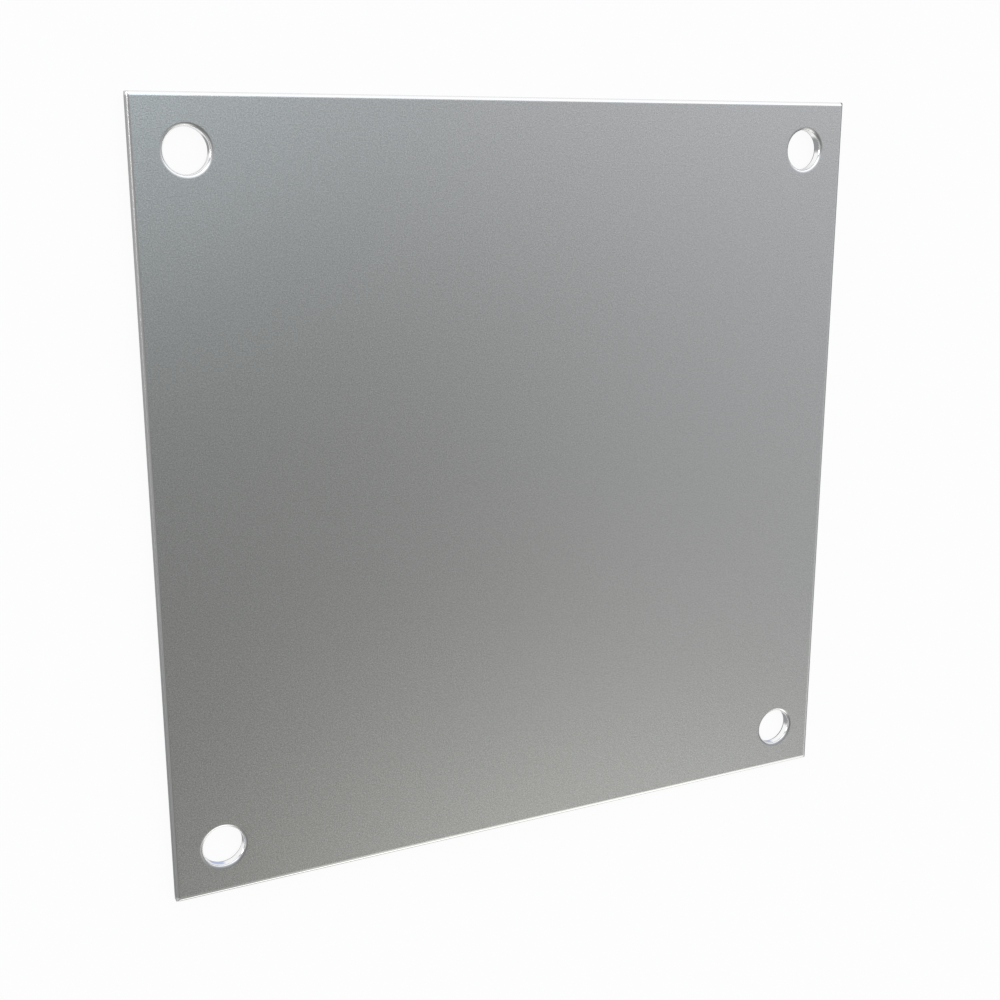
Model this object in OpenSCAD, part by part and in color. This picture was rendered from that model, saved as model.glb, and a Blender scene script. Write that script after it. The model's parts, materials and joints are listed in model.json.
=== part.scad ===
// Back panel of a small equipment enclosure: one flat square of aluminium sheet
// with a screw hole near each corner and every edge eased. It lies on its back
// face at z = 0, with its front face up, its right side at +X and its top at +Y.

/* [Sheet] */
// Width of the panel, along X
panel_w = 123.8; // [60:0.1:400]
// Height of the panel, along Y
panel_h = 123.8; // [60:0.1:400]
// Thickness of the sheet
sheet_t = 2; // [1.5:0.1:6]
// Radius that the outer edges are eased to, on both faces
edge_r = 0.5; // [0.1:0.05:0.6]
// Radius of the four corners, seen from the front
corner_r = 0.4; // [0.1:0.05:3]

/* [Screw holes] */
// Diameter of the screw holes
hole_d = 6.6; // [3:0.1:9]
// Distance from a hole's centre to each of the two nearest sides
hole_inset = 8; // [6:0.1:25]
// Radius that the rims of the holes are eased to, on both faces
rim_r = 0.4; // [0.1:0.05:0.6]

/* [Hidden] */
$fn = 96;
sheet_colour = [0.62, 0.63, 0.63];
// How far a cutter runs past the surface that it breaks through
overrun = 1;
// Distances between the centres of the holes
pitch_x = panel_w - 2 * hole_inset;
pitch_y = panel_h - 2 * hole_inset;

// Rectangle of the given width and height with rounded corners, about the origin.
module rounded_rectangle(w, h, r) {
    square([w - 2 * r, h], center = true);
    square([w, h - 2 * r], center = true);
    for (x = [-1, 1], y = [-1, 1])
        translate([x * (w / 2 - r), y * (h / 2 - r)]) circle(r);
}

// Strip of sheet with the given width and length, lying along Y, whose two
// long edges are eased on both faces.
module eased_strip(w, len) {
    translate([0, len / 2, sheet_t / 2])
        rotate([90, 0, 0])
            linear_extrude(len) rounded_rectangle(w, sheet_t, edge_r);
}

// The sheet before drilling: the outline seen from the front, with its sides
// eased by a strip along Y and a strip along X.
module blank() {
    intersection() {
        linear_extrude(sheet_t) rounded_rectangle(panel_w, panel_h, corner_r);
        eased_strip(panel_w, panel_h);
        rotate([0, 0, 90]) eased_strip(panel_h, panel_w);
    }
}

// Half section of a hole's cutter: the bore, widened at the front face by the
// quarter round of its rim.
module rim_section() {
    difference() {
        square([hole_d / 2 + rim_r, rim_r + overrun]);
        translate([hole_d / 2 + rim_r, 0]) circle(rim_r);
    }
}

// Cutter of one screw hole: a straight bore with an eased rim at each face.
module screw_hole() {
    translate([0, 0, -overrun]) cylinder(h = sheet_t + 2 * overrun, d = hole_d);
    translate([0, 0, sheet_t - rim_r]) rotate_extrude() rim_section();
    translate([0, 0, rim_r]) mirror([0, 0, 1]) rotate_extrude() rim_section();
}

module panel() {
    color(sheet_colour)
        difference() {
            blank();
            for (x = [-1, 1], y = [-1, 1])
                translate([x * pitch_x / 2, y * pitch_y / 2]) screw_hole();
        }
}

panel();
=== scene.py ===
"""Looks of the enclosure panel: satin aluminium sheet with painted highlights on its eased edges, lying on a
pale floor.
"""

import json
import logging
import math
from dataclasses import dataclass
from enum import Enum
from typing import Any, Mapping, Union

import bmesh
import bpy
from mathutils import Matrix, Vector


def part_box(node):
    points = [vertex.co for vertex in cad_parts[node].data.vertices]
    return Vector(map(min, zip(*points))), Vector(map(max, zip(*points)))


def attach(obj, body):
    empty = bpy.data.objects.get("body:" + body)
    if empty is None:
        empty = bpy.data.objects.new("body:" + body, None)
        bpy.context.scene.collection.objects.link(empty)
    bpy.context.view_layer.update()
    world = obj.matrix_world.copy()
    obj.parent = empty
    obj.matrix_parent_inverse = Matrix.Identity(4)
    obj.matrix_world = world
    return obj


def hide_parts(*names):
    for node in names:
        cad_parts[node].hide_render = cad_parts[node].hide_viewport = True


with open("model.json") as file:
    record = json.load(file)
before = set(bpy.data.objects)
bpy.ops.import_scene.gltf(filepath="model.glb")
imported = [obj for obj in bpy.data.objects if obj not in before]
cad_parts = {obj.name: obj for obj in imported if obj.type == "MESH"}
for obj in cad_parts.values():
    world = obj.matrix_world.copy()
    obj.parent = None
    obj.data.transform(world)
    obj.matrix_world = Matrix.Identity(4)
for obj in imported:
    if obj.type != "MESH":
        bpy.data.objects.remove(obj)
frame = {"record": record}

log = logging.getLogger("enclosure_panel")

MM = 0.001
PANEL_NODE = "panel"
PANEL_BODY = "root"
HOLE_MOUNT = "corner_holes"
# Size of a normal's Z over which a mesh face counts as level
LEVEL_NORMAL = 0.9999
# How far off a mitre the ends of an edge on it may lie
MITRE_TOLERANCE = 0.001 * MM
# Middle of the noise texture's range
NOISE_MIDDLE = 0.5

Colour = tuple[float, float, float]
Direction = tuple[float, float, float]
# Start and end of a soft step, or a value at each of two places
Span = tuple[float, float]
Operand = Union["Signal", float]
Paint = Union["Signal", Colour]

WHITE: Colour = (1.0, 1.0, 1.0)


class Side(Enum):
    """The two faces of the sheet, by the way that they look along Z."""

    FRONT = 1
    BACK = -1


class Signal:
    """One output of a shader tree. Arithmetic on it adds Math nodes to the tree."""

    def __init__(self, tree: "ShaderTree", socket: bpy.types.NodeSocket | None) -> None:
        """Wraps a socket.

        Args:
            tree: The tree that the socket belongs to.
            socket: The output socket, or None for a node with no output.
        """
        self.tree = tree
        self.socket = socket

    def _math(self, operation: str, first: Operand, second: Operand) -> "Signal":
        """Adds one Math node.

        Args:
            operation: The Math node's operation.
            first: Its first operand.
            second: Its second operand.

        Returns:
            The node's result.
        """
        return self.tree.node("ShaderNodeMath", {"operation": operation}, {0: first, 1: second})

    def __add__(self, other: Operand) -> "Signal":
        """Returns self + other."""
        return self._math("ADD", self, other)

    def __radd__(self, other: float) -> "Signal":
        """Returns other + self."""
        return self._math("ADD", other, self)

    def __sub__(self, other: Operand) -> "Signal":
        """Returns self - other."""
        return self._math("SUBTRACT", self, other)

    def __rsub__(self, other: float) -> "Signal":
        """Returns other - self."""
        return self._math("SUBTRACT", other, self)

    def __mul__(self, other: Operand) -> "Signal":
        """Returns self * other."""
        return self._math("MULTIPLY", self, other)

    def __rmul__(self, other: float) -> "Signal":
        """Returns other * self."""
        return self._math("MULTIPLY", other, self)

    def __neg__(self) -> "Signal":
        """Returns self with the other sign."""
        return self * -1.0

    def at_least(self, other: Operand) -> "Signal":
        """Returns the larger of self and other."""
        return self._math("MAXIMUM", self, other)

    def above(self, limit: float) -> "Signal":
        """Returns 1 where self is over the limit, and 0 elsewhere."""
        return self._math("GREATER_THAN", self, limit)

    def size(self) -> "Signal":
        """Returns self without its sign."""
        return self.at_least(-self)

    def step(self, span: Span) -> "Signal":
        """Turns self into a soft step.

        Args:
            span: The values of self at which the step begins and at which it is complete.

        Returns:
            0 before the span, rising smoothly to 1 at its end.
        """
        start, end = span
        return self.tree.node(
            "ShaderNodeMapRange",
            {"interpolation_type": "SMOOTHSTEP"},
            {"Value": self, "From Min": start, "From Max": end},
        )

    def between(self, span: Span) -> "Signal":
        """Blends two values.

        Args:
            span: The values that stand for a self of 0 and a self of 1.

        Returns:
            The value for self.
        """
        start, end = span
        return self * (end - start) + start

    def facing(self, way: Direction) -> "Signal":
        """Compares self, a direction of length 1, with a fixed one.

        Args:
            way: The fixed direction, of length 1.

        Returns:
            1 where they agree, 0 where they are square to each other and -1 where they are opposite.
        """
        settings = {"operation": "DOT_PRODUCT"}
        return self.tree.node("ShaderNodeVectorMath", settings, {0: self, 1: way}, "Value")


class ShaderTree:
    """The node tree of a material or world, built by calls that return signals."""

    def __init__(self, tree: bpy.types.NodeTree) -> None:
        """Empties a tree so that it can be built.

        Args:
            tree: The tree of a material or world.
        """
        tree.nodes.clear()
        self.tree = tree

    def node(
        self,
        kind: str,
        settings: Mapping[str, Any] | None = None,
        sockets: Mapping[int | str, Any] | None = None,
        output: int | str = 0,
    ) -> Signal:
        """Adds one node.

        Args:
            kind: The node's type name.
            settings: Its properties, which are set first.
            sockets: Values or signals for its inputs, by name or number.
            output: The output that is returned, by name or number.

        Returns:
            The chosen output.
        """
        made = self.tree.nodes.new(kind)
        for name, value in (settings or {}).items():
            setattr(made, name, value)
        for name, value in (sockets or {}).items():
            if isinstance(value, Signal):
                self.tree.links.new(value.socket, made.inputs[name])
            else:
                made.inputs[name].default_value = value
        return Signal(self, made.outputs[output] if made.outputs else None)

    def parts(self, vector: Signal) -> list[Signal]:
        """Returns the X, Y and Z of a vector."""
        return [self.node("ShaderNodeSeparateXYZ", {}, {0: vector}, axis) for axis in "XYZ"]

    def mix_colour(self, factor: Operand, low: Paint, high: Paint, blend: str = "MIX") -> Signal:
        """Mixes two colours.

        Args:
            factor: 0 for low alone and 1 for the whole blend.
            low: Linear RGB, or a signal that carries it.
            high: Linear RGB, or a signal that carries it.
            blend: The Mix node's way of blending, such as MIX or ADD.

        Returns:
            The mixed colour.
        """
        first_colour, second_colour, result = 6, 7, 2
        paints = [paint if isinstance(paint, Signal) else (*paint, 1.0) for paint in (low, high)]
        return self.node(
            "ShaderNodeMix",
            {"data_type": "RGBA", "blend_type": blend},
            {0: factor, first_colour: paints[0], second_colour: paints[1]},
            output=result,
        )

    def noise(self, place: Signal, size: float, detail: float) -> Signal:
        """Adds fractal noise, each octave half as strong as the one before.

        Args:
            place: Coordinates in metres.
            size: Width of its largest features, in metres.
            detail: How many octaves finer it goes.

        Returns:
            Noise from 0 to 1.
        """
        return self.node(
            "ShaderNodeTexNoise",
            {"noise_dimensions": "3D"},
            {"Vector": place, "Scale": 1.0 / size, "Detail": detail, "Roughness": 0.5},
        )


def new_material(name: str) -> tuple[bpy.types.Material, ShaderTree]:
    """Makes an empty material.

    Args:
        name: Its name.

    Returns:
        The material, and its tree.
    """
    material = bpy.data.materials.new(name)
    material.use_nodes = True
    return material, ShaderTree(material.node_tree)


def new_piece(name: str, bm: bmesh.types.BMesh) -> bpy.types.Object:
    """Turns a finished bmesh into an object of the scene.

    Args:
        name: The object's name.
        bm: The bmesh, which is freed.

    Returns:
        The object, at the origin.
    """
    mesh = bpy.data.meshes.new(name)
    bm.to_mesh(mesh)
    bm.free()
    piece = bpy.data.objects.new(name, mesh)
    bpy.context.scene.collection.objects.link(piece)
    return piece


class SheetSurface:
    """Where a point of the sheet lies and which way its surface faces, as signals.

    Attributes:
        place: Coordinates in metres.
        y: The Y of the place, towards the panel's top.
        height: Height above the back face, in metres.
        normal: Which way the surface faces, of length 1.
        to_top: How far it faces the panel's top, from -1 to 1.
        to_left: How far it faces the left, from 0 to 1.
        flatness: 1 on the front and back, and 0 where the surface stands upright.
        turned: 0 on the front and back, and 1 where the surface has left them.
        leftward: 0 at the panel's right, rising to 1 at its left.
        upward: 0 at the panel's bottom, rising to 1 at its top.
        past_top: Distance past the line where the top side begins, in metres. It is below 0 inside the line.
        past_bottom: The same for the bottom side.
        past_right: The same for the right side.
        on_left: 1 on the left side, and 0 elsewhere.
        on_right: 1 on the right side, and 0 elsewhere.
        on_top: 1 on the top side, and 0 elsewhere.
        on_bottom: 1 on the bottom side, and 0 elsewhere.
        inside: 1 between the four sides, and 0 elsewhere.
        hole: 1 on the walls and rims of the holes, and 0 elsewhere.
    """

    def __init__(self, tree: ShaderTree, side_x: float, side_y: float, turn: Span) -> None:
        """Adds the signals to a material's tree.

        Args:
            tree: The tree.
            side_x: Distance from the sheet's centre at which its left and right sides begin, in metres.
            side_y: The same for its top and bottom sides.
            turn: Flatness at which the surface starts to leave the front or back, and at which it has left.
        """
        self.place = tree.node("ShaderNodeTexCoord", output="Object")
        self.normal = tree.node("ShaderNodeTexCoord", output="Normal")
        x, self.y, self.height = tree.parts(self.place)
        to_right, self.to_top, to_front = tree.parts(self.normal)
        self.to_left = (-to_right).at_least(0.0)
        self.flatness = to_front.size()
        self.turned = self.flatness.step(turn)
        self.leftward = x.step((side_x, -side_x))
        self.upward = self.y.step((-side_y, side_y))
        self.past_top = self.y - side_y
        self.past_bottom = -self.y - side_y
        self.past_right = x - side_x
        self.on_left = (-x).above(side_x)
        self.on_right = x.above(side_x)
        between_sides = 1 - self.on_left - self.on_right
        self.on_top = self.y.above(side_y) * between_sides
        self.on_bottom = (-self.y).above(side_y) * between_sides
        self.inside = between_sides - self.on_top - self.on_bottom
        self.hole = self.turned * self.inside


@dataclass(frozen=True)
class SheetFinish:
    """Bare aluminium sheet.

    Its front and back are satin, with a fine grain. Painted highlights brighten the metal on the top and
    bottom edges, in the holes and along borders of the front and back. The left and right sides are torn by
    the shears, with painted shade on them and on the steep part of the bottom edge. In the holes there is
    painted shade on one side and on the lower rims, and the back rims are darker. A painted bluish reflection
    lies low at the lower left of each hole.

    Each Span gives the values at which a soft step begins and is complete, or else a value at each of the two
    places that its comment names.
    """

    cool_grey: Colour = (0.495, 0.50, 0.505)
    warm_grey: Colour = (0.505, 0.50, 0.495)
    # Colour of the painted highlights
    painted_highlight_metal: Colour = (0.95, 0.95, 0.955)
    # Colour of the painted bluish reflection in the holes
    painted_blue_reflection: Colour = (0.52, 0.58, 0.80)
    # Colour of the torn metal and of the painted shade
    torn_and_shaded_metal: Colour = (0.20, 0.205, 0.21)
    edge_tint: Colour = (0.7, 0.7, 0.7)
    face_roughness: float = 0.29
    bright_roughness: float = 0.14
    torn_roughness: float = 0.34
    cloud_size: float = 35 * MM
    cloud_detail: float = 3.0
    grain_size: float = 0.18 * MM
    grain_detail: float = 1.0
    grain_depth: float = 0.014 * MM
    # Contrast of the grain at the panel's middle, and at the given distance below the middle
    grain_contrast: Span = (0.95, 1.30)
    grain_fade: float = 55 * MM
    # Flatness at which the surface leaves the front and back
    turn: Span = (0.9995, 0.985)
    # Steepness at which painted highlights brighten the rims of the holes
    lean: Span = (0.02, 0.18)
    # What facing the top adds to the steepness, at the panel's bottom and at its top
    lean_to_top: Span = (-0.25, 0.20)
    # What facing the left adds to it, at the panel's right and at its left
    lean_to_left: Span = (-0.22, 0.0)
    # Painted highlights along the borders of the front and back, by the distance past the line where a side
    # begins
    top_border: Span = (-0.17 * MM, 0.01 * MM)
    bottom_border: Span = (-0.28 * MM, -0.1 * MM)
    bottom_border_widening: float = 0.1 * MM
    right_border: Span = (-0.35 * MM, -0.1 * MM)
    # Share of the painted highlight along the right border at the panel's bottom and at its top
    right_border_share: Span = (0.42, 0.06)
    # Torn metal of the sides, with painted shade on the rounds of the right and bottom edges, by flatness
    left_tear: Span = (0.74, 0.43)
    right_tear_and_shade: Span = (0.985, 0.90)
    bottom_tear_and_shade: Span = (0.90, 0.75)
    bottom_shade_widening: float = 0.05
    # Share of the left side's torn metal at the panel's bottom and at its top, a painted shade that is darker
    # towards the bottom
    left_tear_and_shade_share: Span = (0.8, 0.35)
    # Share of the bottom's torn metal and painted shade at the panel's right and at its left, darker towards
    # the left
    bottom_tear_and_shade_share: Span = (0.4, 1.0)
    # Painted shade on one side of the holes, by how nearly the surface faces one way
    shade_way: Direction = (-0.956, -0.292, 0.0)
    shade_nearness: Span = (0.86, 0.97)
    shade_share: float = 0.85
    # Darker back rims of the holes, by height
    back_rim: Span = (0.6 * MM, 0.5 * MM)
    # Painted shade on the lower rims of the holes, by how far they face the top and by flatness
    lower_rim_to_top: Span = (0.08, 0.3)
    lower_rim_flatness: Span = (0.6, 0.85)
    # Share of the painted shade on the lower rims at the panel's bottom and at its top
    lower_rim_share: Span = (0.5, 0.0)
    # Painted bluish reflection on one side of the holes, by how nearly the surface faces one way and by
    # height
    cool_way: Direction = (0.342, 0.94, 0.0)
    cool_nearness: Span = (0.88, 0.97)
    cool_height: Span = (1.6 * MM, 1.3 * MM)

    def make(self, side_x: float, side_y: float) -> bpy.types.Material:
        """Makes the finish as a material.

        Args:
            side_x: Distance from the sheet's centre at which its left and right sides begin, in metres.
            side_y: The same for its top and bottom sides.

        Returns:
            The material.
        """
        material, tree = new_material("aluminium_sheet")
        surface = SheetSurface(tree, side_x, side_y, self.turn)
        borders = self._borders(surface)
        # Painted highlights on the top and bottom edges, in the holes and along the borders
        painted_highlight = self._painted_highlights(surface, borders)
        # Torn metal of the sides, and painted shade on the sides and in the holes
        torn_and_shade = self._torn_and_shaded(surface)
        grained = 1 - surface.turned.at_least(borders)
        grain = (tree.noise(surface.place, self.grain_size, self.grain_detail) - NOISE_MIDDLE) * grained
        satin = self._satin(tree, surface, grain)
        # Highlight colour with the painted bluish reflection mixed in
        shine = tree.mix_colour(self._blue_reflection(surface), self.painted_highlight_metal, self.painted_blue_reflection)
        before_tear_and_shade = tree.mix_colour(painted_highlight, satin, shine)
        roughness = painted_highlight.between((self.face_roughness, self.bright_roughness))
        relief = {"Strength": 1.0, "Distance": self.grain_depth, "Height": grain}
        metal = tree.node(
            "ShaderNodeBsdfPrincipled",
            {},
            {
                "Base Color": tree.mix_colour(torn_and_shade, before_tear_and_shade, self.torn_and_shaded_metal),
                "Metallic": 1.0,
                "Specular Tint": (*self.edge_tint, 1.0),
                "Roughness": roughness + torn_and_shade * (self.torn_roughness - self.bright_roughness),
                "Normal": tree.node("ShaderNodeBump", {}, relief),
            },
        )
        tree.node("ShaderNodeOutputMaterial", {}, {"Surface": metal})
        return material

    def _borders(self, surface: SheetSurface) -> Signal:
        """Finds the painted highlights along the top and bottom borders of the front and back.

        Args:
            surface: The sheet's surface.

        Returns:
            Their share, from 0 to 1.
        """
        past_bottom = surface.past_bottom + surface.leftward * self.bottom_border_widening
        return surface.past_top.step(self.top_border).at_least(past_bottom.step(self.bottom_border))

    def _painted_highlights(self, surface: SheetSurface, borders: Signal) -> Signal:
        """Finds the painted highlights: the top and bottom edges, the holes, the borders and a band along the
        right side.

        Args:
            surface: The sheet's surface.
            borders: Share of the painted highlights along the top and bottom.

        Returns:
            Its share, from 0 to 1.
        """
        for_top = surface.to_top * surface.upward.between(self.lean_to_top)
        for_left = surface.to_left * surface.leftward.between(self.lean_to_left)
        steepness = 1 - surface.flatness + for_top + for_left
        holes = steepness.step(self.lean) * surface.inside
        edges = surface.turned * (surface.on_top + surface.on_bottom)
        right = surface.past_right.step(self.right_border) * surface.upward.between(self.right_border_share)
        return edges.at_least(holes).at_least(borders).at_least(right)

    def _torn_and_shaded(self, surface: SheetSurface) -> Signal:
        """Finds the torn metal and the painted shade: the left, right and bottom sides, and the dark parts of
        the holes.

        Args:
            surface: The sheet's surface.

        Returns:
            Its share, from 0 to 1.
        """
        left = surface.on_left * surface.flatness.step(self.left_tear)
        right = surface.on_right * surface.flatness.step(self.right_tear_and_shade)
        steeper = surface.flatness - surface.leftward * self.bottom_shade_widening
        bottom = surface.on_bottom * steeper.step(self.bottom_tear_and_shade)
        sides = (
            (left * surface.upward.between(self.left_tear_and_shade_share))
            .at_least(right)
            .at_least(bottom * surface.leftward.between(self.bottom_tear_and_shade_share))
        )
        return sides.at_least(surface.hole * self._dark_in_hole(surface))

    def _dark_in_hole(self, surface: SheetSurface) -> Signal:
        """Finds the dark parts of a hole: painted shade on one side and on its lower rim, and its darker back
        rim.

        Args:
            surface: The sheet's surface.

        Returns:
            Its share, from 0 to 1.
        """
        # Painted shade on one side of the hole
        shaded_side = surface.normal.facing(self.shade_way).step(self.shade_nearness) * self.shade_share
        back = surface.height.step(self.back_rim)
        # Painted shade on the lower rim, stronger towards the panel's bottom
        lower = surface.to_top.step(self.lower_rim_to_top) * surface.flatness.step(self.lower_rim_flatness)
        return shaded_side.at_least(back).at_least(lower * surface.upward.between(self.lower_rim_share))

    def _blue_reflection(self, surface: SheetSurface) -> Signal:
        """Finds the painted bluish reflection, low in the wall at the lower left of each hole.

        Args:
            surface: The sheet's surface.

        Returns:
            Its share, from 0 to 1.
        """
        nearness = surface.normal.facing(self.cool_way).step(self.cool_nearness)
        return nearness * surface.hole * surface.height.step(self.cool_height)

    def _satin(self, tree: ShaderTree, surface: SheetSurface, grain: Signal) -> Signal:
        """Colours the front and back, whose grain shows more towards the bottom.

        Args:
            tree: The material's tree.
            surface: The sheet's surface.
            grain: Fine noise about 0.

        Returns:
            The colour.
        """
        clouds = tree.noise(surface.place, self.cloud_size, self.cloud_detail)
        tint = tree.mix_colour(clouds, self.cool_grey, self.warm_grey)
        contrast = surface.y.step((0.0, -self.grain_fade)).between(self.grain_contrast)
        return tree.mix_colour(1.0, tint, grain * contrast + 1, "MULTIPLY")


@dataclass(frozen=True)
class PaleFloorFinish:
    """Matt white floor that keeps the panel's shadow and reads as white where nothing shades it."""

    paint: Colour = (0.90, 0.90, 0.90)
    seen_glow: float = 0.94
    mirrored_glow: float = 1.0

    def make(self) -> bpy.types.Material:
        """Makes the finish as a material.

        Returns:
            The material.
        """
        material, tree = new_material("pale_floor")
        paint = tree.node("ShaderNodeBsdfDiffuse", {}, {"Color": (*self.paint, 1.0)})
        glow = tree.node("ShaderNodeEmission", {}, {"Color": (*WHITE, 1.0), "Strength": 1.0})
        seen = tree.node("ShaderNodeLightPath", output="Is Camera Ray")
        glossy = tree.node("ShaderNodeLightPath", output="Is Glossy Ray")
        through = tree.node("ShaderNodeLightPath", output="Is Transmission Ray")
        mirrored = glossy.at_least(through) * self.mirrored_glow
        share = mirrored.at_least(seen * self.seen_glow)
        floor = tree.node("ShaderNodeMixShader", {}, {0: share, 1: paint, 2: glow})
        tree.node("ShaderNodeOutputMaterial", {}, {"Surface": floor})
        return material


@dataclass
class PanelSheet:
    """The panel: one square of sheet with a rimmed hole near each corner."""

    width: float
    height: float
    thickness: float
    pitch_x: float
    pitch_y: float
    hole_radius: float
    rim_round: float = 0.6 * MM
    edge_round: float = 0.5 * MM
    corner_round: float = 0.12 * MM
    corner_margin: float = 1.0 * MM
    round_segments: int = 8
    corner_segments: int = 3
    hole_segments: int = 128

    @classmethod
    def from_frame(cls, node: str, mount: str) -> "PanelSheet":
        """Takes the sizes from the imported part.

        Args:
            node: Name of the sheet's node.
            mount: Name of the mount that describes its holes.

        Returns:
            The sheet at its real size.
        """
        low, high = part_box(node)
        size = high - low
        dims = next(entry["dims"] for entry in frame["record"]["mounts"] if entry["name"] == mount)
        return cls(
            width=size.x,
            height=size.y,
            thickness=size.z,
            pitch_x=dims["spacing_x_mm"] * MM,
            pitch_y=dims["spacing_y_mm"] * MM,
            hole_radius=dims["hole_r_mm"] * MM,
        )

    def build(self, name: str) -> bpy.types.Object:
        """Models the sheet.

        Args:
            name: The piece's name.

        Returns:
            The piece, in place.
        """
        bm = bmesh.new()
        self._add_outside(bm)
        for x in (-1, 1):
            for y in (-1, 1):
                self._add_hole(bm, Vector((x * self.pitch_x / 2, y * self.pitch_y / 2, 0)))
        for face in bm.faces:
            face.smooth = True
        for side in Side:
            self._add_face(bm, side)
        bmesh.ops.recalc_face_normals(bm, faces=bm.faces)
        return new_piece(name, bm)

    def _add_outside(self, bm: bmesh.types.BMesh) -> None:
        """Adds the sheet's four sides with their eased edges, open at the front and back.

        The sides meet in mitres at the corners, and cuts near the corners keep the shading of the long faces
        straight.

        Args:
            bm: The mesh to add to.
        """
        block = bmesh.ops.create_cube(bm, size=1.0)["verts"]
        bmesh.ops.scale(bm, vec=(self.width, self.height, self.thickness), verts=block)
        bmesh.ops.translate(bm, vec=(0, 0, self.thickness / 2), verts=block)
        lying = [edge for edge in bm.edges if abs(edge.verts[0].co.z - edge.verts[1].co.z) < self.edge_round]
        self._ease(bm, lying, self.edge_round, self.round_segments)
        for sign in (-1, 1):
            self._cut(bm, Vector((sign * (self.width / 2 - self.corner_margin), 0, 0)))
            self._cut(bm, Vector((0, sign * (self.height / 2 - self.corner_margin), 0)))
        mitres = [edge for edge in bm.edges if self._on_mitre(edge)]
        self._ease(bm, mitres, self.corner_round, self.corner_segments)
        bm.normal_update()
        level_faces = [face for face in bm.faces if abs(face.normal.z) > LEVEL_NORMAL]
        bmesh.ops.delete(bm, geom=level_faces, context="FACES")

    def _ease(
        self, bm: bmesh.types.BMesh, edges: list[bmesh.types.BMEdge], radius: float, segments: int
    ) -> None:
        """Rounds some edges.

        Args:
            bm: The mesh.
            edges: The edges.
            radius: Radius of the round.
            segments: Number of faces across it.
        """
        bmesh.ops.bevel(
            bm,
            geom=edges,
            offset=radius,
            offset_type="OFFSET",
            segments=segments,
            profile=0.5,
            affect="EDGES",
            material=-1,
        )

    def _cut(self, bm: bmesh.types.BMesh, point: Vector) -> None:
        """Cuts every face along the upright plane that faces the sheet's centre at a point.

        Args:
            bm: The mesh.
            point: The point.
        """
        everything = bm.verts[:] + bm.edges[:] + bm.faces[:]
        bmesh.ops.bisect_plane(bm, geom=everything, plane_co=point, plane_no=point.normalized())

    def _on_mitre(self, edge: bmesh.types.BMEdge) -> bool:
        """Tests whether an edge runs along a corner's mitre, as far in from one side as from the other.

        Args:
            edge: The edge.

        Returns:
            Whether it does.
        """
        insets = [(self.width / 2 - abs(end.co.x), self.height / 2 - abs(end.co.y)) for end in edge.verts]
        near = all(inset_x < self.corner_margin / 2 for inset_x, inset_y in insets)
        return near and all(abs(inset_x - inset_y) < MITRE_TOLERANCE for inset_x, inset_y in insets)

    def _add_hole(self, bm: bmesh.types.BMesh, centre: Vector) -> None:
        """Adds one hole's wall and both its rims.

        Args:
            bm: The mesh to add to.
            centre: The hole's centre, on the back face.
        """
        section = self._rim_section(bm, centre)
        points = list({point for edge in section for point in edge.verts})
        bmesh.ops.spin(
            bm,
            geom=points + section,
            cent=centre,
            axis=(0, 0, 1),
            angle=math.tau,
            steps=self.hole_segments,
            use_merge=True,
        )

    def _rim_section(self, bm: bmesh.types.BMesh, centre: Vector) -> list[bmesh.types.BMEdge]:
        """Draws one hole's section: front rim, wall and back rim, as one chain of edges.

        Args:
            bm: The mesh to add to.
            centre: The hole's centre, on the back face.

        Returns:
            The chain's edges.
        """
        before = set(bm.edges)
        out = self.hole_radius + self.rim_round
        front_arc = centre + Vector((out, 0, self.thickness - self.rim_round))
        back_arc = centre + Vector((out, 0, self.rim_round))
        start = bmesh.ops.create_vert(bm, co=front_arc + Vector((0, 0, self.rim_round)))["vert"][0]
        rim_end = self._quarter_turn(bm, start, front_arc)
        wall = bmesh.ops.extrude_vert_indiv(bm, verts=[rim_end])["verts"]
        bmesh.ops.translate(bm, vec=back_arc - front_arc, verts=wall)
        self._quarter_turn(bm, wall[0], back_arc)
        return [edge for edge in bm.edges if edge not in before]

    def _quarter_turn(
        self, bm: bmesh.types.BMesh, start: bmesh.types.BMVert, centre: Vector
    ) -> bmesh.types.BMVert:
        """Sweeps a point through a quarter turn about the Y direction.

        Args:
            bm: The mesh to add to.
            start: The point.
            centre: The arc's centre.

        Returns:
            The arc's last point.
        """
        swept = bmesh.ops.spin(
            bm, geom=[start], cent=centre, axis=(0, -1, 0), angle=math.pi / 2, steps=self.round_segments
        )
        return next(item for item in swept["geom_last"] if isinstance(item, bmesh.types.BMVert))

    def _add_face(self, bm: bmesh.types.BMesh, side: Side) -> None:
        """Closes the front or the back with one flat face that leaves the holes open.

        Args:
            bm: The mesh to add to.
            side: Which face.
        """
        middle = self.thickness / 2
        borders = [edge for edge in bm.edges if edge.is_boundary]
        rim = [edge for edge in borders if (edge.verts[0].co.z > middle) == (side is Side.FRONT)]
        bmesh.ops.triangle_fill(bm, edges=rim, use_beauty=True, normal=(0, 0, side.value))

    def dress(self, piece: bpy.types.Object, finish: SheetFinish) -> None:
        """Gives the sheet its finish and ties it to the frame.

        Args:
            piece: The sheet.
            finish: Its finish.
        """
        side_x = self.width / 2 - self.edge_round
        side_y = self.height / 2 - self.edge_round
        piece.data.materials.append(finish.make(side_x, side_y))
        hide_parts(PANEL_NODE)
        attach(piece, PANEL_BODY)


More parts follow.
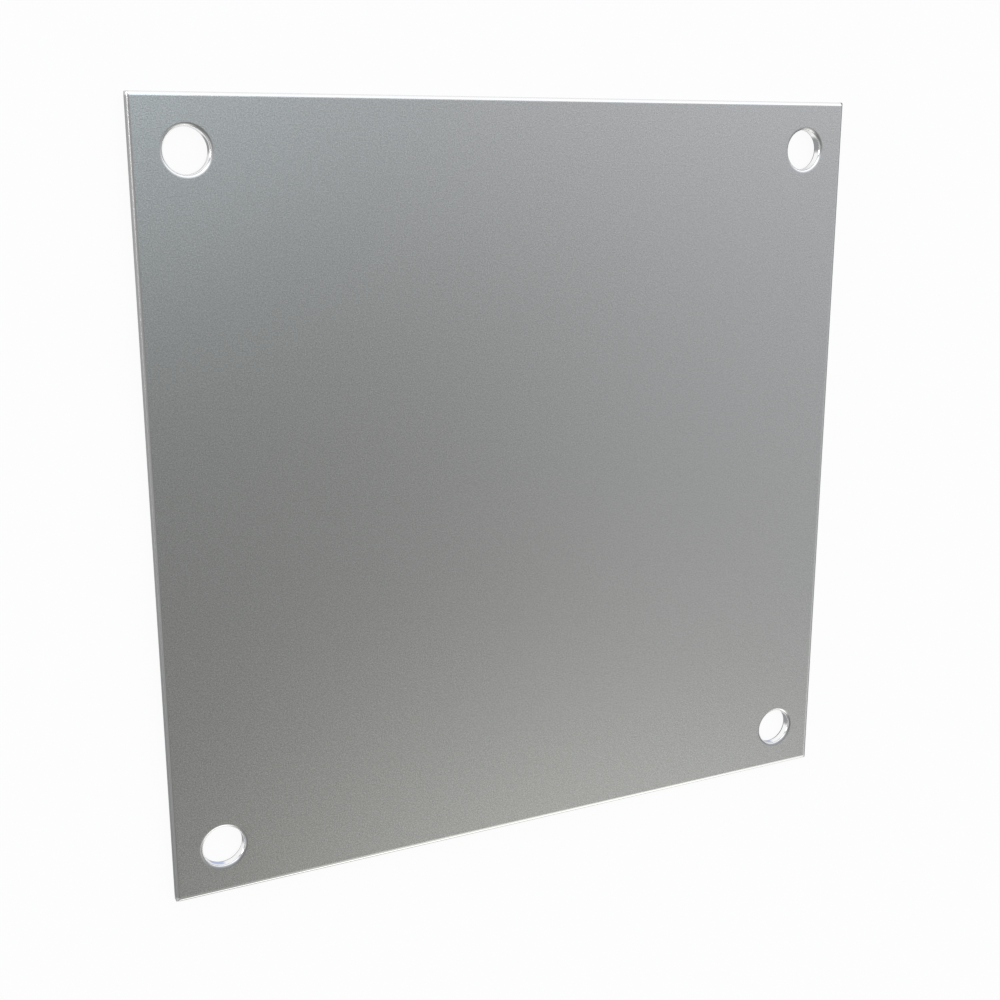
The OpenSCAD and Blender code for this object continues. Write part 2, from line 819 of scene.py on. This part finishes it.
@dataclass(frozen=True)
class SoftGlow:
    """A round patch of light on the studio's walls or ceiling, with a soft rim."""

    turn_deg: float
    lift_deg: float
    core_deg: float
    reach_deg: float
    light: Colour

    def add_to(self, tree: ShaderTree, direction: Signal, light: Paint) -> Signal:
        """Adds the patch to the light that comes from a direction.

        Args:
            tree: The world's tree.
            direction: The direction.
            light: The light from there without the patch.

        Returns:
            The light from there with the patch.
        """
        turn, lift = math.radians(self.turn_deg), math.radians(self.lift_deg)
        middle = (math.cos(turn) * math.cos(lift), math.sin(turn) * math.cos(lift), math.sin(lift))
        rim, core = math.cos(math.radians(self.reach_deg)), math.cos(math.radians(self.core_deg))
        return tree.mix_colour(direction.facing(middle).step((rim, core)), light, self.light, "ADD")


@dataclass(frozen=True)
class Studio:
    """The floor and the surrounding light, whose directions turn from the panel's right towards its top."""

    floor_side: float = 3.0
    floor_gap: float = 0.05 * MM
    dim_walls: Colour = (0.288, 0.289, 0.276)
    glows: tuple[SoftGlow, ...] = (
        SoftGlow(turn_deg=80, lift_deg=23.6, core_deg=45.5, reach_deg=72.3, light=(0.76, 0.785, 0.835)),
        SoftGlow(turn_deg=-53.4, lift_deg=40.6, core_deg=1.8, reach_deg=20.4, light=(0.865, 0.875, 0.815)),
        SoftGlow(turn_deg=-3.4, lift_deg=40.2, core_deg=0.6, reach_deg=31.2, light=(0.425, 0.435, 0.465)),
        SoftGlow(turn_deg=151.8, lift_deg=36.9, core_deg=14.4, reach_deg=57.8, light=(0.24, 0.236, 0.255)),
        SoftGlow(turn_deg=30.9, lift_deg=80.9, core_deg=3.6, reach_deg=9.6, light=(0.507, 0.735, 0.814)),
        SoftGlow(turn_deg=-66, lift_deg=10, core_deg=8, reach_deg=28, light=(1.0, 1.0, 0.97)),
        SoftGlow(turn_deg=-81, lift_deg=27, core_deg=5, reach_deg=18, light=(0.9, 0.89, 0.85)),
        SoftGlow(turn_deg=170, lift_deg=4, core_deg=4, reach_deg=14, light=(5.5, 5.5, 5.5)),
        SoftGlow(turn_deg=210, lift_deg=32, core_deg=5, reach_deg=28, light=(0.22, 0.22, 0.22)),
    )

    def build(self) -> None:
        """Makes the floor and the world."""
        self._build_floor()
        self._build_world()

    def _build_floor(self) -> None:
        """Lays the floor just under the panel."""
        bm = bmesh.new()
        corners = bmesh.ops.create_grid(bm, x_segments=1, y_segments=1, size=self.floor_side / 2)["verts"]
        bmesh.ops.translate(bm, vec=(0, 0, -self.floor_gap), verts=corners)
        floor = new_piece("floor", bm)
        floor.data.materials.append(PaleFloorFinish().make())

    def _build_world(self) -> None:
        """Makes a world that is white to the camera and lights the panel with soft glows."""
        world = bpy.data.worlds.new("studio")
        world.use_nodes = True
        bpy.context.scene.world = world
        tree = ShaderTree(world.node_tree)
        direction = tree.node("ShaderNodeTexCoord", output="Generated")
        light = self.dim_walls
        for glow in self.glows:
            light = glow.add_to(tree, direction, light)
        camera = tree.node("ShaderNodeLightPath", output="Is Camera Ray")
        colour = tree.mix_colour(camera, light, WHITE)
        back = tree.node("ShaderNodeBackground", {}, {"Color": colour, "Strength": 1.0})
        tree.node("ShaderNodeOutputWorld", {}, {"Surface": back})


@dataclass(frozen=True)
class PhotoCamera:
    """The photograph's viewpoint, given by where it looks and from which way."""

    lens_mm: float = 50.0
    sensor_mm: float = 36.0
    aim: Vector = Vector((-4.91 * MM, -2.23 * MM, 2.0 * MM))
    distance: float = 229.85 * MM
    turn_left_deg: float = 25.99
    lift_deg: float = 14.245

    def build(self) -> None:
        """Places the camera above the panel, with the panel's top towards the top of the picture."""
        turn = Matrix.Rotation(-math.radians(self.turn_left_deg), 3, "Y")
        lift = Matrix.Rotation(-math.radians(self.lift_deg), 3, "X")
        data = bpy.data.cameras.new("photo_camera")
        data.lens = self.lens_mm
        data.sensor_width = self.sensor_mm
        data.clip_start = MM
        camera = bpy.data.objects.new("photo_camera", data)
        look = (turn @ lift).to_4x4()
        camera.matrix_world = Matrix.Translation(self.aim + look @ Vector((0, 0, self.distance))) @ look
        bpy.context.scene.collection.objects.link(camera)
        bpy.context.scene.camera = camera


def main() -> None:
    """Builds the camera, the panel and the studio."""
    logging.basicConfig(level=logging.INFO)
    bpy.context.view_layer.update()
    PhotoCamera().build()
    sheet = PanelSheet.from_frame(PANEL_NODE, HOLE_MOUNT)
    piece = sheet.build("panel_sheet")
    sheet.dress(piece, SheetFinish())
    log.info("%s: %d faces", piece.name, len(piece.data.polygons))
    Studio().build()
    bpy.context.scene.view_settings.view_transform = "Standard"


if __name__ == "__main__":
    main()
